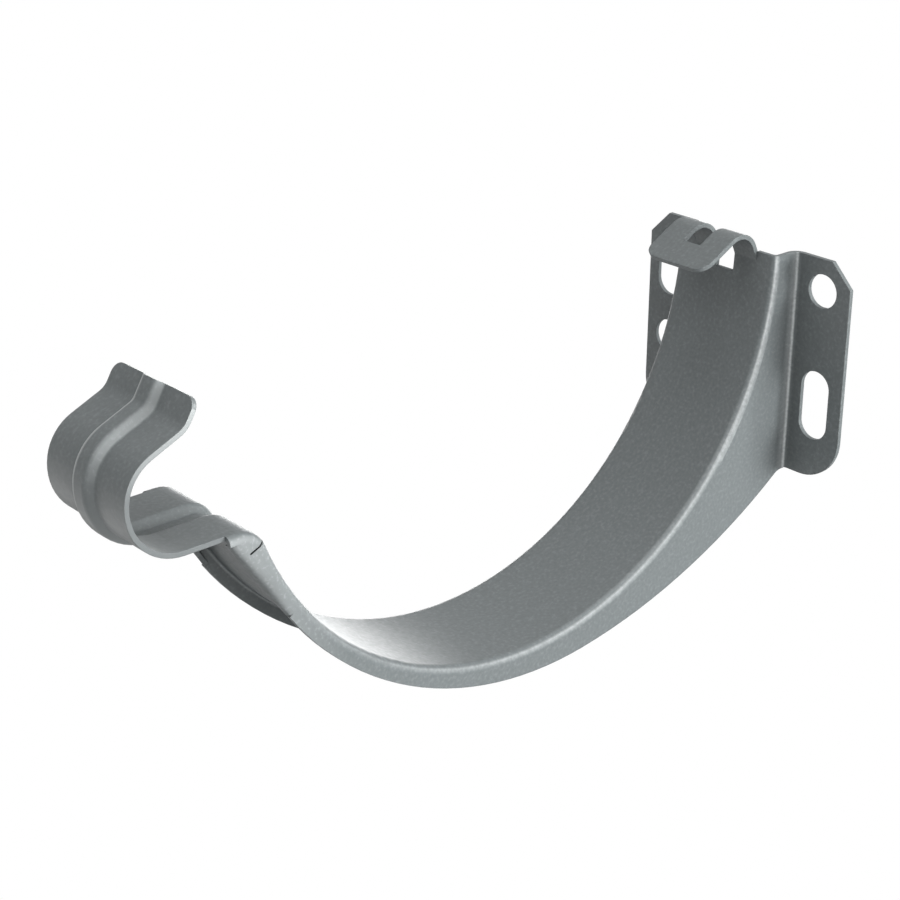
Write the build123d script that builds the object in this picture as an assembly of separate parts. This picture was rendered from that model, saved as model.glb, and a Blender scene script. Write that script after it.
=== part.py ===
from build123d import *

import os
from math import acos, asin, atan2, cos, degrees, hypot, radians, sin, sqrt, tan

# Fascia bracket for a half-round gutter: one pressed and bent piece of painted sheet steel.
# Frame: the wall plane is x = 0 and +X points away from the wall, y = 0 is the bracket's middle plane,
# and z = 0 is the height of the gutter's centre line. Millimetres throughout.

# Sheet
sheet = 0.9                      # thickness of the steel, paint included
bend_inside = 0.6                # inner radius where the flanges leave the web
bend_outside = bend_inside + sheet

# Gutter seat
gutter_radius = 62.5             # outside of a 125 mm half-round gutter
seat_clearance = 0.2
seat_radius = gutter_radius + seat_clearance
web_standoff = 6.7               # from the wall to the seat face at the top of the web
top_level = -0.8                 # height of the web's, the flanges' and the ears' upper edge
web_flat = 22.2                  # width of the web between its two bends, and of the hook

# Flanges
flange_depth = 3.4               # from the seat face to the free edge, at the front
deep_start = -44.5               # degrees round the seat, 0 at the front, where the flange starts to deepen
deep_sweep = 52.2
deep_widening = 6.6              # how much larger the free edge's radius is there than at the front
wall_widening = 52.3             # the same from there to the wall

# Ears
near_ear_reach = 26.2            # from the middle plane to the ear's outer edge, +Y side
far_ear_reach = 25.4             # the same on the -Y side
ear_bottom = -46.1
ear_bend_inside = 1.6            # where a flange turns out into its ear
ear_chamfer = 4.7
ear_corner = 9.0                 # rounding of the outer lower corner
hole_spacing = 39.3              # sideways, from opening to opening
hole_diameter = 6.8
slot_length = 14.3
upper_top = -3.8                 # upper end of the upper openings
lower_top = -23.7                # upper end of the lower openings

# Tongue over the gutter's back edge
tongue_width = 15.5
tongue_slot_width = 4.4
tongue_slot_bottom = -6.1
tongue_lean = 25.0               # degrees, forward lean of the two legs
tongue_root_level = -2.7         # where the legs leave the web's curve
tongue_root_inside = 1.0
tongue_leg = 2.65
tongue_crest_inside = 4.1
tongue_slope = 28.0              # degrees below level
tongue_flat = 9.35
tongue_slot_on_flat = 3.4        # length of slot on the sloping part
tongue_corner = 3.0

# Front strip, curl and lip
strip_level = -19.3              # upper face of the strip
strip_bend_inside = 4.8
strip_length = 9.5
curl_low_inside = 9.4
curl_low_sweep = 101.9
curl_high_inside = 7.5
curl_high_sweep = 54.4
hook_straight = 5.8
lip_bend_inside = 3.5
lip_bend_sweep = 35.5
lip_length = 3.6
lip_corner = 2.2

# Stiffening rib down the middle of the strip and the hook
rib_depth = 1.25
rib_floor = 2.6                  # width of the groove's floor, before rounding
rib_mouth = 5.2                  # width of the groove at the surface, before rounding
rib_rim_round = 1.5              # radius of the sheet's upper face where it turns down
rib_floor_round = 0.5            # radius of the upper face where it levels out again
rib_run_out = 3.0                # length on the web over which the rib rises away

# Front corner
gusset_reach = 2.04              # forward from the web's front bend, at the strip's level
gusset_curl = 2.2                # largest outer radius of the inward curl along that edge
gusset_curl_foot = 1.0           # the same where it dies out
gusset_curl_tip = 1.5            # the same under the strip
gusset_curl_run = 0.42           # part of the edge over which it grows
slit_width = 0.35
slit_start = 146.0               # degrees round the front bend, 90 at the strip
slit_length = 4.2
slit_angle = -23.6               # degrees in side view
slit_shy = 0.25                  # sideways, from the edge of the web's flat to the slit

seat_centre = (web_standoff + seat_radius, 0.0)
strip_bend_outside = strip_bend_inside + sheet


class Walk:
    """A line drawn in side view, as steps of (kind, start, heading, size, sweep)."""

    def __init__(self, start, heading):
        self.point = start
        self.heading = heading
        self.steps = []

    def line(self, length):
        self.steps.append(("line", self.point, self.heading, length, 0.0))
        self.point = ahead(self.point, self.heading, length)
        return self

    def arc(self, radius, sweep):
        """Turn by sweep degrees, to the left when it is positive."""
        self.steps.append(("arc", self.point, self.heading, radius, sweep))
        side = 90.0 if sweep > 0 else -90.0
        centre = ahead(self.point, self.heading + side, radius)
        self.heading += sweep
        self.point = ahead(centre, self.heading - side, radius)
        return self


def ahead(point, heading, distance):
    """The point at this distance from another, in side view."""
    angle = radians(heading)
    return (point[0] + distance * cos(angle), point[1] + distance * sin(angle))


def arc_centre(step):
    """Centre of an arc step."""
    kind, start, heading, radius, sweep = step
    return ahead(start, heading + (90.0 if sweep > 0 else -90.0), radius)


def drawn(walk, right=0.0):
    """The edges of a walk, moved to its right-hand side by a distance."""
    edges = []
    for kind, start, heading, size, sweep in walk.steps:
        begin = ahead(start, heading - 90.0, right)
        if kind == "line":
            edges.append(Line(begin, ahead(begin, heading, size)))
            continue
        side = 90.0 if sweep > 0 else -90.0
        centre = ahead(start, heading + side, size)
        radius = size + right if sweep > 0 else size - right
        middle = ahead(centre, heading - side + sweep / 2, radius)
        end = ahead(centre, heading - side + sweep, radius)
        edges.append(ThreePointArc(begin, middle, end))
    return edges


def side_face(edges):
    """A face in the middle plane from edges drawn in side view."""
    return Plane.XZ * make_face(Curve() + edges)


def follow(section, walk):
    """Carry a cross-section along a walk. It is drawn with x across the bracket and y to the walk's left."""
    solid = Part()
    for step in walk.steps:
        kind, start, heading, size, sweep = step
        angle = radians(heading)
        plane = Plane(origin=(start[0], 0, start[1]), x_dir=(0, 1, 0), z_dir=(cos(angle), 0, sin(angle)))
        face = plane * section
        if kind == "line":
            solid += extrude(face, amount=size)
            continue
        centre = arc_centre(step)
        axis = Axis((centre[0], 0, centre[1]), (0, -1 if sweep > 0 else 1, 0))
        solid += revolve(face, axis=axis, revolution_arc=abs(sweep))
    return solid


# Side view of the seat face, from the top of the web to the tip of the lip
corner_angle = degrees(asin((strip_level - strip_bend_outside) / (seat_radius + strip_bend_outside)))
top_angle = 180.0 + degrees(asin(-top_level / seat_radius))


def seat_walk():
    start = ahead(seat_centre, top_angle, seat_radius)
    return Walk(start, top_angle + 90.0 - 360.0).arc(seat_radius, 360.0 + corner_angle - top_angle)


def corner_walk():
    seat = seat_walk()
    return Walk(seat.point, seat.heading).arc(strip_bend_outside, -seat.heading)


def hook_walk():
    corner = corner_walk()
    hook = Walk(corner.point, 0.0).line(strip_length)
    hook.arc(curl_low_inside, curl_low_sweep).arc(curl_high_inside, curl_high_sweep)
    return hook.line(hook_straight).arc(lip_bend_inside + sheet, -lip_bend_sweep).line(lip_length)


# Side view of the flange's straight free edge, up to the level at which the strip's side bends end
gusset_level = strip_level - bend_outside
free_edge_radius = seat_radius + flange_depth
deep_radius = free_edge_radius + deep_widening
wall_radius = free_edge_radius + wall_widening
gusset_tip = (corner_walk().point[0] + gusset_reach, gusset_level)
tip_distance = hypot(gusset_tip[0] - seat_centre[0], gusset_tip[1] - seat_centre[1])
tip_angle = degrees(atan2(gusset_tip[1] - seat_centre[1], gusset_tip[0] - seat_centre[0]))
gusset_start = tip_angle - degrees(acos(free_edge_radius / tip_distance))
gusset_foot = ahead(seat_centre, gusset_start, free_edge_radius)
gusset_heading = gusset_start + 90.0
gusset_length = sqrt(tip_distance ** 2 - free_edge_radius ** 2)


def bend_section():
    """The two bends from the web into the flanges."""
    ring = Circle(bend_outside) - Circle(bend_inside)
    quarter = ring & (Pos(bend_outside / 2, bend_outside / 2) * Rectangle(bend_outside, bend_outside))
    near = Pos(web_flat / 2, -bend_outside) * quarter
    return near, mirror(near, about=Plane.YZ)


def web():
    """The seat web and its two bends, which run on beside the strip."""
    near, far = bend_section()
    flat = Pos(0, -sheet / 2) * Rectangle(web_flat, sheet)
    beside_strip = Walk(corner_walk().point, 0.0).line(gusset_reach)
    solid = follow(flat, seat_walk())
    for side in (near, far):
        for walk in (seat_walk(), corner_walk(), beside_strip):
            solid += follow(side, walk)
    return solid


def free_edge():
    """The flange's lower edge in side view, from the gusset's foot back to behind the wall plane."""
    edge = Walk(gusset_foot, gusset_heading + 180.0)
    edge.arc(free_edge_radius, deep_start - gusset_start).arc(deep_radius, -deep_sweep)
    behind = 4.0
    centre = ahead(edge.point, edge.heading - 90.0, wall_radius)
    level = centre[1] - sqrt(wall_radius ** 2 - (centre[0] + behind) ** 2)
    now = degrees(atan2(edge.point[1] - centre[1], edge.point[0] - centre[0]))
    then = degrees(atan2(level - centre[1], -behind - centre[0]))
    return edge.arc(wall_radius, then - now)


def curl_stations():
    """Points on the gusset's straight edge with the curl's outer radius at each."""
    middle = ahead(gusset_foot, gusset_heading, gusset_curl_run * gusset_length)
    return [(gusset_foot, gusset_curl_foot), (middle, gusset_curl), (gusset_tip, gusset_curl_tip)]


def flange_outline():
    """The flange's flat in side view, between the bend and the free edge."""
    inner = drawn(seat_walk(), right=bend_outside) + drawn(corner_walk(), right=bend_outside)
    foot, middle, tip = [ahead(point, gusset_start + 180.0, radius) for point, radius in curl_stations()]
    along = (gusset_level - middle[1]) / (tip[1] - middle[1])
    top = (middle[0] + along * (tip[0] - middle[0]), gusset_level)
    outer = free_edge()
    back = (outer.point[0], top_level)
    front = [Line(inner[-1] @ 1, top), Line(top, middle), Line(middle, foot), Line(foot, gusset_foot)]
    return inner + front + drawn(outer) + [Line(outer.point, back), Line(back, inner[0] @ 0)]


def gusset_curl_solid():
    """The gusset's edge turned inward through a quarter circle, growing from its foot."""
    outside = web_flat / 2 + bend_outside
    sections = []
    for point, radius in curl_stations():
        plane = Plane(
            origin=(point[0], 0, point[1]),
            x_dir=(cos(radians(gusset_start)), 0, sin(radians(gusset_start))),
            z_dir=(cos(radians(gusset_heading)), 0, sin(radians(gusset_heading))),
        )
        centre = (-radius, outside - radius)
        inside = radius - sheet
        diagonal = sqrt(0.5)
        quarter = make_face(Curve() + [
            ThreePointArc(
                (-radius, outside),
                (centre[0] + radius * diagonal, centre[1] + radius * diagonal),
                (0, outside - radius),
            ),
            Line((0, outside - radius), (-sheet, outside - radius)),
            ThreePointArc(
                (-sheet, outside - radius),
                (centre[0] + inside * diagonal, centre[1] + inside * diagonal),
                (-radius, outside - sheet),
            ),
            Line((-radius, outside - sheet), (-radius, outside)),
        ])
        sections.append(plane * quarter)
    solid = Part() + loft(sections[:2], ruled=True) + loft(sections[1:], ruled=True)
    depth = 100.0
    return solid & Pos(gusset_tip[0], outside, gusset_level - depth / 2) * Box(depth, depth, depth)


def plan_strip(reach):
    """Flange, bend and ear of one side in plan, as one strip of sheet."""
    outside = web_flat / 2 + bend_outside
    inside = outside - sheet
    front = gusset_tip[0] + 1.0
    turn = sheet + ear_bend_inside
    slant = ear_bend_inside * (1 - sqrt(0.5))
    outer_slant = turn * (1 - sqrt(0.5))
    return make_face(Curve() + [
        Line((front, outside), (turn, outside)),
        ThreePointArc((turn, outside), (sheet + slant, outside + slant), (sheet, outside + ear_bend_inside)),
        Line((sheet, outside + ear_bend_inside), (sheet, reach)),
        Line((sheet, reach), (0, reach)),
        Line((0, reach), (0, inside + turn)),
        ThreePointArc((0, inside + turn), (outer_slant, inside + outer_slant), (turn, inside)),
        Line((turn, inside), (front, inside)),
        Line((front, inside), (front, outside)),
    ])


def ear_outline(reach):
    """Flange and ear of one side from the front, with the ear's chamfer and rounded corner."""
    low = -free_edge_radius - 10.0
    inner = web_flat / 2 + bend_outside + ear_bend_inside / 2
    face = make_face(Polyline(
        (0, top_level), (reach - ear_chamfer, top_level), (reach, top_level - ear_chamfer), (reach, ear_bottom),
        (inner, ear_bottom), (inner, low), (0, low),
        close=True,
    ))
    lower_corner = face.vertices().sort_by_distance((reach, ear_bottom, 0))[0]
    return fillet(lower_corner, ear_corner)


def flange_and_ear(reach):
    """The +Y side's flange and ear, without openings. The ear ends at this distance from the middle."""
    depth = 200.0
    strip = Pos(0, 0, -depth / 2) * extrude(plan_strip(reach), amount=depth)
    side_prism = extrude(side_face(flange_outline()), amount=reach, both=True)
    front_prism = extrude(Plane.YZ * ear_outline(reach), amount=depth)
    return strip & side_prism & front_prism


def slit():
    """Relief cut in the near side's bend and flange, between the strip's part and the web's part."""
    bend_centre = arc_centre(corner_walk().steps[0])
    start = ahead(bend_centre, slit_start, strip_bend_outside)
    overrun = 1.0
    middle = ahead(start, slit_angle, (slit_length - overrun) / 2)
    low = web_flat / 2 + slit_shy
    high = web_flat / 2 + bend_outside + overrun
    cutter = Box(slit_length + overrun, high - low, slit_width)
    return Pos(middle[0], (low + high) / 2, middle[1]) * Rot(0, -slit_angle, 0) * cutter


def round_opening(side, top):
    """Cutter for a round screw hole, with its highest point at this level."""
    level = top - hole_diameter / 2
    return Pos(sheet / 2, side * hole_spacing / 2, level) * Rot(0, 90, 0) * Cylinder(hole_diameter / 2, 4 * sheet)


def long_opening(side, top):
    """Cutter for an upright screw slot, with its highest point at this level."""
    shape = Rot(0, 0, 90) * SlotOverall(slot_length, hole_diameter)
    prism = extrude(Plane.YZ * shape, amount=2 * sheet, both=True)
    return Pos(0, side * hole_spacing / 2, top - slot_length / 2) * prism


def lying(point, heading):
    """A plane on the sheet's face at a point of a walk, with x along the walk and z off the face."""
    angle = radians(heading)
    return Plane(
        origin=(point[0], 0, point[1]),
        x_dir=(cos(angle), 0, sin(angle)),
        z_dir=(-sin(angle), 0, cos(angle)),
    )


def corner_waste(point, heading, width, radius):
    """What rounding the two corners of a strip's end takes away."""
    end = Pos(-radius, 0) * Rectangle(2 * radius, width)
    rounded = fillet(end.vertices().group_by(Axis.X)[-1], radius)
    return extrude(lying(point, heading) * (end - rounded), amount=2 * sheet, both=True)


def tongue_walk():
    """The tongue's gutter side: up from the web, forward over a crest and down."""
    angle = 180.0 + degrees(asin(-tongue_root_level / seat_radius))
    root = Walk(ahead(seat_centre, angle, seat_radius), angle - 90.0)
    root.arc(tongue_root_inside, 90.0 - tongue_lean - root.heading).line(tongue_leg)
    return root.arc(tongue_crest_inside, -tongue_slope - root.heading)


def tongue():
    """The tongue, without its slot."""
    walk = tongue_walk().line(tongue_flat)
    section = Pos(0, sheet / 2) * Rectangle(tongue_width, sheet)
    return follow(section, walk) - corner_waste(walk.point, walk.heading, tongue_width, tongue_corner)


def tongue_gap():
    """Where the web makes way for the tongue's legs."""
    height = 20.0
    start = tongue_walk().steps[0][1]
    return Pos(start[0], 0, start[1] + height / 2) * Box(4 * sheet, tongue_width, height)


def tongue_slot():
    """Cutter for the slot that splits the tongue into two legs and runs down into the web."""
    crest = tongue_walk()
    end = ahead(crest.point, crest.heading, tongue_slot_on_flat)
    under = ahead(end, crest.heading - 90.0, 2 * sheet)
    over = ahead(end, crest.heading + 90.0, 5 * sheet)
    behind = (0, over[1])
    low_behind = (0, tongue_slot_bottom)
    low_front = (web_standoff + sheet, tongue_slot_bottom)
    outline = [
        Line(low_behind, low_front), Line(low_front, under), Line(under, over),
        Line(over, behind), Line(behind, low_behind),
    ]
    return extrude(side_face(outline), amount=tongue_slot_width / 2, both=True)


rib_wall_angle = atan2(rib_depth, (rib_mouth - rib_floor) / 2)
rib_widening = sheet * tan(rib_wall_angle / 2)


def ribbed_section():
    """Cross-section of the strip: flat sheet with the rib pressed down in its middle."""
    edge = web_flat / 2
    mouth = rib_mouth / 2
    floor = rib_floor / 2
    upper = [(-edge, 0), (-mouth, 0), (-floor, -rib_depth), (floor, -rib_depth), (mouth, 0), (edge, 0)]
    low_mouth = mouth + rib_widening
    low_floor = floor + rib_widening
    low = -rib_depth - sheet
    lower = [
        (edge, -sheet), (low_mouth, -sheet), (low_floor, low),
        (-low_floor, low), (-low_mouth, -sheet), (-edge, -sheet),
    ]
    face = make_face(Polyline(*upper, *lower, close=True))
    rounds = [
        ((mouth, 0), rib_rim_round),
        ((floor, -rib_depth), rib_floor_round),
        ((low_mouth, -sheet), rib_rim_round - sheet),
        ((low_floor, low), rib_floor_round + sheet),
    ]
    for (across, level), radius in rounds:
        for side in (-1, 1):
            face = fillet(face.vertices().sort_by_distance((side * across, level, 0))[0], radius)
    return face


def hook():
    """Front bend, strip, curl and lip, with the rib along them."""
    section = ribbed_section()
    walk = hook_walk()
    solid = follow(section, corner_walk()) + follow(section, walk)
    return solid - corner_waste(walk.point, walk.heading, web_flat, lip_corner)


def run_out(upper, lower, mouth, floor):
    """A tapered block along the last stretch of web before the front bend, for the rib's run-out."""
    seat = seat_walk()
    angle = radians(seat.heading)
    ends = []
    for back, depth, shrink in ((0.0, lower, 1.0), (rib_run_out, (upper + lower) / 2, 0.5)):
        point = ahead(seat.point, seat.heading, -back)
        plane = Plane(origin=(point[0], 0, point[1]), x_dir=(0, 1, 0), z_dir=(cos(angle), 0, sin(angle)))
        outline = Polyline(
            (-shrink * mouth, upper), (shrink * mouth, upper), (shrink * floor, depth), (-shrink * floor, depth),
            close=True,
        )
        ends.append(plane * make_face(outline))
    return loft(ends, ruled=True)


def rib_end():
    """The rib's run-out on the web: the body below the sheet and the hollow above it."""
    slope = tan(rib_wall_angle)
    embed = sheet / 2
    above = rib_depth
    body_mouth = rib_mouth / 2 + rib_widening + (sheet - embed) / slope
    body = run_out(-embed, -rib_depth - sheet, body_mouth, rib_floor / 2 + rib_widening)
    hollow = run_out(above, -rib_depth, rib_mouth / 2 + above / slope, rib_floor / 2)
    return body, hollow


def bracket():
    near = flange_and_ear(near_ear_reach) - round_opening(1, upper_top) - long_opening(1, lower_top)
    far = mirror(flange_and_ear(far_ear_reach), about=Plane.XZ)
    far = far - long_opening(-1, upper_top) - round_opening(-1, lower_top)
    cut = slit()
    rib_body, rib_hollow = rib_end()
    seat = web() - tongue_gap() + rib_body - rib_hollow
    main = seat + hook() + tongue() - tongue_slot() + near + far
    main = main - cut - mirror(cut, about=Plane.XZ)
    # The curls' tangent faces stay apart from the flanges' flats, so they are joined without merging
    curl = gusset_curl_solid().solid()
    return main.solid().fuse(curl).fuse(mirror(curl, about=Plane.XZ))


if __name__ == "__main__":
    os.makedirs("parts", exist_ok=True)
    whole = bracket()
    export_step(whole, "parts/bracket.step")
    print("solids", len(whole.solids()), "volume", round(whole.volume, 1), "box", whole.bounding_box())
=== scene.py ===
from math import cos, radians, sin

import bpy
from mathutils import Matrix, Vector


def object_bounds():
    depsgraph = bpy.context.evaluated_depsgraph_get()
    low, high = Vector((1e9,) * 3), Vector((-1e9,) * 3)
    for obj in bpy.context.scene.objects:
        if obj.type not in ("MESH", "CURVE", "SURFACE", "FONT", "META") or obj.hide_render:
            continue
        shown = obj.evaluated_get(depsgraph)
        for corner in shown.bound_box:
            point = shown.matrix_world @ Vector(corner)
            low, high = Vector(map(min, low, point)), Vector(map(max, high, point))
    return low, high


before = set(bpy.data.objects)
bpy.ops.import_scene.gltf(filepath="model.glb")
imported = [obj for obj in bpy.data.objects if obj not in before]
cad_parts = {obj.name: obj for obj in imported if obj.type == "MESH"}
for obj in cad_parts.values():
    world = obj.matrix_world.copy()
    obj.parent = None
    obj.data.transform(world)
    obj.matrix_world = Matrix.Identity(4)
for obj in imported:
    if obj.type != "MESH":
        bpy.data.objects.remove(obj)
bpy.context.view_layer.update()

# Camera, solved from the photograph. Distances in metres.
CAMERA_PLACE = Vector((0.29375, 0.24637, 0.11879))
CAMERA_TURN = radians(48.862)        # direction to the camera in plan, from +X towards +Y
CAMERA_RISE = radians(23.65)
LENS_MM = 80.0
SENSOR_MM = 36.0
CLIP_START = 0.01

# The bracket hangs on a wall, well above the floor
FLOOR_DROP = 0.9
FLOOR_SIZE = 6.0
FLOOR_SHADE = 0.75

# Studio: the white surround shows in gloss, and gives little light of its own
SURROUND_FILL = 0.04
SURROUND_GLOSS = 0.72
LIT_POINT = (0.075, 0.0, -0.03)
SOFTBOX = 0.7
SOFTBOXES = {                        # place, sides, watts
    "side": ((0.20, 0.50, -0.10), (0.35, 0.35), 1.4),
    "side rear": ((-0.35, 0.90, 0.20), (SOFTBOX, SOFTBOX), 19.4),
    "top": ((0.08, 0.00, 1.05), (0.8, 0.8), 5.9),
    "front": ((0.85, 0.00, 0.75), (SOFTBOX, SOFTBOX), 3.0),
    "near": ((0.60, 0.65, 0.65), (SOFTBOX, SOFTBOX), 3.2),
    "far front": ((0.50, -0.75, -0.55), (SOFTBOX, SOFTBOX), 1.6),
    "far rear": ((-0.70, -0.80, -0.30), (0.9, 0.5), 6.2),
}
MATT_LAMPS = ("side rear",)          # its reflection would bleach the seat when seen along it

# Powder coat, with painted highlights and painted shade among its colours
COAT_DARK = (0.112, 0.125, 0.127)
COAT_LIGHT = (0.136, 0.151, 0.154)
PAINTED_HIGHLIGHT_COAT = (0.292, 0.310, 0.312)    # painted highlight along the bends and on the rib's upper slopes
STRONGEST_HIGHLIGHT = (0.430, 0.450, 0.452)  # brightest painted highlight, on the ear bends and down the rib's far slope
RIB_SHADE_COAT = (0.090, 0.101, 0.103)   # painted shade along the lower part of the rib's slopes
FRONT_LIGHT_COAT = (0.205, 0.220, 0.222)  # painted light on the flanges towards the front corner, and under the curl
CORNER_SHADE_COAT = (0.036, 0.041, 0.042)  # painted shade in the inner corners
FLECK = (0.270, 0.285, 0.287)
EDGE_LOW = (0.138, 0.150, 0.152)     # on the hook's cut edges, by the strip
EDGE_HIGHLIGHT = (0.330, 0.350, 0.350)    # painted highlight on the same edges at the top of the hook
COAT_ROUGHNESS = (0.38, 0.46)
CORNER_ROUGHNESS = 0.85
EDGE_ROUND = 0.00025                 # how softly light turns over a cut edge
EDGE_SAMPLES = 6
COAT_IOR = 1.5

# Noises: scale, detail and roughness. 1500 gives grains of about 0.7 mm.
GRAIN_NOISE = (1500.0, 2.0, 0.5)
GLOSS_NOISE = (900.0, 2.0, 0.5)
FLECK_NOISE = (1500.0, 1.0, 0.5)
PEEL_NOISE = (1300.0, 2.0, 0.55)
PEEL_HEIGHT = 0.00002
PEEL_STRENGTH = 0.6

# Where the masks lie on the bracket
CORNER_REACH = 0.014
CORNER_SAMPLES = 8
HOOK_HALF_WIDTH = 0.0111
HOOK_EDGE_FADE = (0.00005, 0.0001)
BENDS_END = 0.0152                   # outer end of the bends, from the middle plane
WEB_BEND_FACING = 0.78               # sideways part of the normal along a bend's lightest line
EAR_BEND_FACING = 0.55
BEND_SPREAD = 0.21
RIB_FACING = 0.69                    # the same on the rib's slopes
RIB_FACING_SPREAD = 0.4
RIB_HALF_WIDTH = 0.0035
RIB_FADE = 0.001
RIM_ACROSS = -0.0021                 # middle of the rib's far slope
RIM_FADE = (0.0010, 0.0012)
FLANGE_FACE = 0.0126                 # outer face of the flanges, from the middle plane
FACE_FADE = 0.0002
BEND_FADE = 0.0001

# Ranges of the masks: a low and a high value, and the mask at each.
# Facing is the sideways part of the normal, forward and level are coordinates in metres.
GRAIN_RANGE = (0.32, 0.68, 0.0, 1.0)
FLECK_RANGE = (0.58, 0.72, 0.0, 1.0)
FLECK_BY_FRONT_LIGHT = (0.0, 1.0, 0.12, 0.9)
CORNER_RANGE = (0.25, 0.90, 0.0, 1.0)
CORNER_DULL = (0.0, 1.0, CORNER_ROUGHNESS, 0.0)
GLOSS_RANGE = (0.3, 0.7, *COAT_ROUGHNESS)
FLANGE_BY_FACING = (0.90, 0.97, 0.0, 1.0)
FRONT_LIGHT_BY_FACING = (0.55, 0.90, 0.0, 1.0)
FRONT_LIGHT_BY_FORWARD = (0.112, 0.134, 0.0, 1.0)
NOSE_BY_FORWARD = (0.138, 0.150, 0.0, 1.0)
NOSE_BY_LEVEL = (-0.015, -0.005, 0.95, 0.0)
BEND_LIGHT_BY_GRAIN = (0.30, 0.62, 0.6, 1.0)
BEND_LIGHT_BY_FORWARD = (0.055, 0.125, 1.0, 0.2)
STRONGEST_BY_FORWARD = (0.003, 0.010, 1.0, 0.0)
RIB_SHADE_BY_LEVEL = (-0.009, -0.004, 0.2, 0.0)
RIB_HIGHLIGHT_BY_LEVEL = (-0.009, -0.001, 0.0, 0.5)
RIM_BY_FACING = (-0.30, -0.05, 1.0, 0.0)
RIM_BY_FORWARD = (0.136, 0.138, 0.0, 1.0)
RIM_BY_LEVEL = (-0.012, 0.005, 1.0, 0.7)
TOP_EDGE_LIGHT_BY_LEVEL = (-0.008, 0.003, 0.0, 1.0)

# Sockets of the colour mix node
MIX_FACTOR, MIX_FIRST, MIX_SECOND, MIX_RESULT = 0, 6, 7, 2
WHITE = (1.0, 1.0, 1.0, 1.0)


def direction(turn, rise):
    return Vector((cos(turn) * cos(rise), sin(turn) * cos(rise), sin(rise)))


class Tree:
    """Short names for the nodes that the materials are made of."""

    def __init__(self, tree):
        self.nodes = tree.nodes
        self.links = tree.links
        self.nodes.clear()

    def add(self, kind, **inputs):
        node = self.nodes.new(kind)
        for name, value in inputs.items():
            node.inputs[name.replace("_", " ")].default_value = value
        return node

    def join(self, source, target):
        self.links.new(source, target)

    def noise(self, vector, scale, detail, roughness):
        node = self.add("ShaderNodeTexNoise", Scale=scale, Detail=detail, Roughness=roughness)
        self.join(vector, node.inputs["Vector"])
        return node.outputs["Fac"]

    def spread(self, source, low, high, low_value, high_value):
        """Map a range of values to another, and hold it at both ends."""
        node = self.add("ShaderNodeMapRange", From_Min=low, From_Max=high, To_Min=low_value, To_Max=high_value)
        self.join(source, node.inputs["Value"])
        return node.outputs["Result"]

    def maths(self, operation, first, second=None):
        node = self.add("ShaderNodeMath")
        node.operation = operation
        for socket, value in zip(node.inputs, (first, second)):
            if isinstance(value, float):
                socket.default_value = value
            elif value is not None:
                self.join(value, socket)
        return node.outputs[0]

    def both(self, first, second):
        return self.maths("MULTIPLY", first, second)

    def blend(self, factor, first, second):
        node = self.add("ShaderNodeMix")
        node.data_type = "RGBA"
        self.join(factor, node.inputs[MIX_FACTOR])
        for socket, value in ((node.inputs[MIX_FIRST], first), (node.inputs[MIX_SECOND], second)):
            if isinstance(value, tuple):
                socket.default_value = (*value, 1.0)
            else:
                self.join(value, socket)
        return node.outputs[MIX_RESULT]


class Place:
    """Where a point of the bracket lies and which way its surface faces, for masks."""

    def __init__(self, tree):
        coordinates = tree.add("ShaderNodeTexCoord")
        self.tree = tree
        self.point = coordinates.outputs["Object"]
        split = tree.add("ShaderNodeSeparateXYZ")
        tree.join(self.point, split.inputs[0])
        self.forward = split.outputs["X"]
        self.across = split.outputs["Y"]
        self.aside = tree.maths("ABSOLUTE", self.across)
        self.level = split.outputs["Z"]
        normal = tree.add("ShaderNodeSeparateXYZ")
        tree.join(coordinates.outputs["Normal"], normal.inputs[0])
        self.facing_near = normal.outputs["Y"]
        self.facing_aside = tree.maths("ABSOLUTE", self.facing_near)

    def near(self, value, middle, full, none):
        """1 where a value is within one distance of the middle, falling to 0 at another."""
        off = self.tree.maths("ABSOLUTE", self.tree.maths("SUBTRACT", value, middle))
        return self.tree.spread(off, full, none, 1.0, 0.0)


def bend_highlight(tree, place):
    """Mask of a painted highlight along the bends from the web into the flanges and from the flanges into the
    ears.
    """
    middle = (HOOK_HALF_WIDTH + BENDS_END) / 2
    half = (BENDS_END - HOOK_HALF_WIDTH) / 2
    beside = place.near(place.aside, middle, half, half + BEND_FADE)
    face_end = FLANGE_FACE + FACE_FADE
    lightest = tree.spread(place.aside, FLANGE_FACE, face_end, WEB_BEND_FACING, EAR_BEND_FACING)
    return tree.both(place.near(place.facing_aside, lightest, 0.0, BEND_SPREAD), beside)


def rib_slopes(tree, place):
    """Mask of the rib's two slopes."""
    on_rib = place.near(place.aside, 0.0, RIB_HALF_WIDTH, RIB_HALF_WIDTH + RIB_FADE)
    return tree.both(place.near(place.facing_aside, RIB_FACING, 0.0, RIB_FACING_SPREAD), on_rib)


def rim_highlight(tree, place):
    """Mask of a painted highlight along the rib's far slope round the outside of the curl, strongest low down.
    """
    slope = place.near(place.across, RIM_ACROSS, *RIM_FADE)
    slope = tree.both(slope, tree.spread(place.facing_near, *RIM_BY_FACING))
    on_curl = tree.spread(place.forward, *RIM_BY_FORWARD)
    return tree.both(slope, tree.both(on_curl, tree.spread(place.level, *RIM_BY_LEVEL)))


def corner_shade(tree):
    """1 in the open, 0 deep in an inner corner."""
    node = tree.add("ShaderNodeAmbientOcclusion", Distance=CORNER_REACH)
    node.samples = CORNER_SAMPLES
    node.only_local = True
    return tree.spread(node.outputs["AO"], *CORNER_RANGE)


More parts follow.
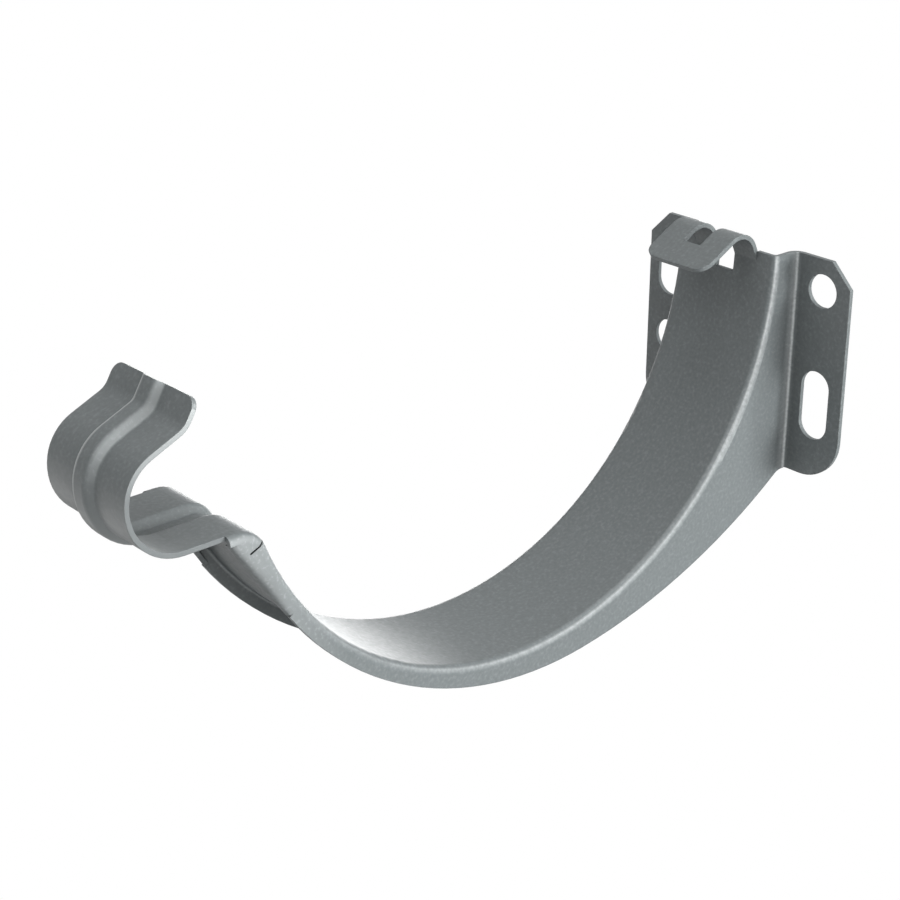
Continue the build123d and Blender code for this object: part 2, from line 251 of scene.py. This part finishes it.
def grain_flecks_and_painted_light(tree, place, grain, open_air):
    """Grain and flecks, with painted light on the flanges towards the front corner and on the curl's nose, and
    painted shade in the inner corners.
    """
    colour = tree.blend(tree.spread(grain, *GRAIN_RANGE), COAT_DARK, COAT_LIGHT)
    # Painted light: the flanges lighter towards the front corner; the flecks show most there
    front_lit = tree.both(tree.spread(place.facing_aside, *FRONT_LIGHT_BY_FACING),
                       tree.spread(place.forward, *FRONT_LIGHT_BY_FORWARD))
    colour = tree.blend(front_lit, colour, FRONT_LIGHT_COAT)
    fleck = tree.spread(tree.noise(place.point, *FLECK_NOISE), *FLECK_RANGE)
    fleck = tree.both(fleck, tree.spread(front_lit, *FLECK_BY_FRONT_LIGHT))
    colour = tree.blend(fleck, colour, FLECK)
    # Painted highlight on the nose of the curl, low down
    nose = tree.both(tree.spread(place.forward, *NOSE_BY_FORWARD), tree.spread(place.level, *NOSE_BY_LEVEL))
    colour = tree.blend(nose, colour, FRONT_LIGHT_COAT)
    # Painted shade: colour darkened deep in the inner corners
    return tree.blend(open_air, CORNER_SHADE_COAT, colour)


def painted_highlights_and_rib_shade(tree, place, grain, colour):
    """Painted highlights over the bends, the rib's upper slopes, its far slope round the curl and the top of
    the hook's cut edges; painted shade on the rib's lower slopes.
    """
    # Painted highlight: lighter colour along the bends, brightest on the ear bends
    bend_lit = tree.both(bend_highlight(tree, place), tree.spread(grain, *BEND_LIGHT_BY_GRAIN))
    bend_lit = tree.both(bend_lit, tree.spread(place.forward, *BEND_LIGHT_BY_FORWARD))
    highlight_colour = tree.blend(tree.spread(place.forward, *STRONGEST_BY_FORWARD), PAINTED_HIGHLIGHT_COAT, STRONGEST_HIGHLIGHT)
    colour = tree.blend(bend_lit, colour, highlight_colour)

    # Painted shade on the rib's lower slopes, painted highlight on its upper slopes
    slopes = rib_slopes(tree, place)
    low = tree.both(slopes, tree.spread(place.level, *RIB_SHADE_BY_LEVEL))
    high = tree.both(slopes, tree.spread(place.level, *RIB_HIGHLIGHT_BY_LEVEL))
    colour = tree.blend(high, tree.blend(low, colour, RIB_SHADE_COAT), PAINTED_HIGHLIGHT_COAT)
    # Painted highlight down the rib's far slope round the curl
    colour = tree.blend(rim_highlight(tree, place), colour, STRONGEST_HIGHLIGHT)

    # Painted highlight: the hook's cut edges lighter towards the top
    edge = tree.blend(tree.spread(place.level, *TOP_EDGE_LIGHT_BY_LEVEL), EDGE_LOW, EDGE_HIGHLIGHT)
    at_edge = place.near(place.aside, HOOK_HALF_WIDTH, *HOOK_EDGE_FADE)
    at_edge = tree.both(at_edge, tree.spread(place.facing_aside, *FLANGE_BY_FACING))
    return tree.blend(at_edge, colour, edge)


def powder_coat():
    """Satin powder coat: fine grain and peel, dull in the inner corners, with painted highlights and painted
    shade in its colour.
    """
    material = bpy.data.materials.new("powder_coat")
    material.use_nodes = True
    tree = Tree(material.node_tree)
    out = tree.add("ShaderNodeOutputMaterial")
    shader = tree.add("ShaderNodeBsdfPrincipled", Metallic=0.0, IOR=COAT_IOR)
    tree.join(shader.outputs["BSDF"], out.inputs["Surface"])
    place = Place(tree)

    grain = tree.noise(place.point, *GRAIN_NOISE)
    open_air = corner_shade(tree)
    colour = painted_highlights_and_rib_shade(tree, place, grain, grain_flecks_and_painted_light(tree, place, grain, open_air))
    tree.join(colour, shader.inputs["Base Color"])

    sheen = tree.both(tree.spread(tree.noise(place.point, *GLOSS_NOISE), *GLOSS_RANGE), open_air)
    dull = tree.spread(open_air, *CORNER_DULL)
    tree.join(tree.maths("ADD", sheen, dull), shader.inputs["Roughness"])

    round_edge = tree.add("ShaderNodeBevel", Radius=EDGE_ROUND)
    round_edge.samples = EDGE_SAMPLES
    peel = tree.add("ShaderNodeBump", Strength=PEEL_STRENGTH, Distance=PEEL_HEIGHT)
    tree.join(round_edge.outputs["Normal"], peel.inputs["Normal"])
    tree.join(tree.noise(place.point, *PEEL_NOISE), peel.inputs["Height"])
    tree.join(peel.outputs["Normal"], shader.inputs["Normal"])
    return material


def floor_material():
    """Pale floor that the camera sees as the white backdrop."""
    material = bpy.data.materials.new("floor")
    material.use_nodes = True
    tree = Tree(material.node_tree)
    out = tree.add("ShaderNodeOutputMaterial")
    path = tree.add("ShaderNodeLightPath")
    mixer = tree.add("ShaderNodeMixShader")
    seen = tree.add("ShaderNodeEmission", Color=WHITE)
    lit = tree.add("ShaderNodeBsdfDiffuse", Color=(FLOOR_SHADE, FLOOR_SHADE, FLOOR_SHADE, 1.0))
    tree.join(path.outputs["Is Camera Ray"], mixer.inputs["Fac"])
    tree.join(lit.outputs["BSDF"], mixer.inputs[1])
    tree.join(seen.outputs["Emission"], mixer.inputs[2])
    tree.join(mixer.outputs["Shader"], out.inputs["Surface"])
    return material


def build_floor():
    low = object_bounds()[0]
    bpy.ops.mesh.primitive_plane_add(size=FLOOR_SIZE, location=(0.0, 0.0, low[2] - FLOOR_DROP))
    floor = bpy.context.object
    floor.name = "floor"
    floor.data.materials.append(floor_material())


def build_world():
    """White surround: plain white for the camera, bright in gloss, faint as light."""
    world = bpy.data.worlds.new("studio")
    bpy.context.scene.world = world
    world.use_nodes = True
    tree = Tree(world.node_tree)
    out = tree.add("ShaderNodeOutputWorld")
    path = tree.add("ShaderNodeLightPath")
    shade = tree.add("ShaderNodeBackground", Color=WHITE, Strength=SURROUND_FILL).outputs[0]
    for ray, strength in (("Is Glossy Ray", SURROUND_GLOSS), ("Is Camera Ray", 1.0)):
        mixer = tree.add("ShaderNodeMixShader")
        seen = tree.add("ShaderNodeBackground", Color=WHITE, Strength=strength)
        tree.join(path.outputs[ray], mixer.inputs["Fac"])
        tree.join(shade, mixer.inputs[1])
        tree.join(seen.outputs[0], mixer.inputs[2])
        shade = mixer.outputs["Shader"]
    tree.join(shade, out.inputs["Surface"])


def build_lights():
    for name, (place, sides, watts) in SOFTBOXES.items():
        data = bpy.data.lights.new(name, "AREA")
        data.shape = "RECTANGLE"
        data.size, data.size_y = sides
        data.energy = watts
        light = bpy.data.objects.new(name, data)
        bpy.context.collection.objects.link(light)
        light.location = place
        light.rotation_euler = (Vector(LIT_POINT) - light.location).to_track_quat("-Z", "Y").to_euler()
        light.visible_camera = False
        light.visible_glossy = name not in MATT_LAMPS


def build_camera():
    data = bpy.data.cameras.new("camera")
    data.lens = LENS_MM
    data.sensor_width = SENSOR_MM
    data.sensor_fit = "HORIZONTAL"
    data.clip_start = CLIP_START
    camera = bpy.data.objects.new("camera", data)
    bpy.context.collection.objects.link(camera)
    back = direction(CAMERA_TURN, CAMERA_RISE)
    camera.location = CAMERA_PLACE
    camera.rotation_euler = back.to_track_quat("Z", "Y").to_euler()
    bpy.context.scene.camera = camera


def dress_bracket():
    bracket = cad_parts["bracket"]
    bracket.data.materials.clear()
    bracket.data.materials.append(powder_coat())


dress_bracket()
build_floor()
build_world()
build_lights()
build_camera()
bpy.context.scene.view_settings.view_transform = "Standard"
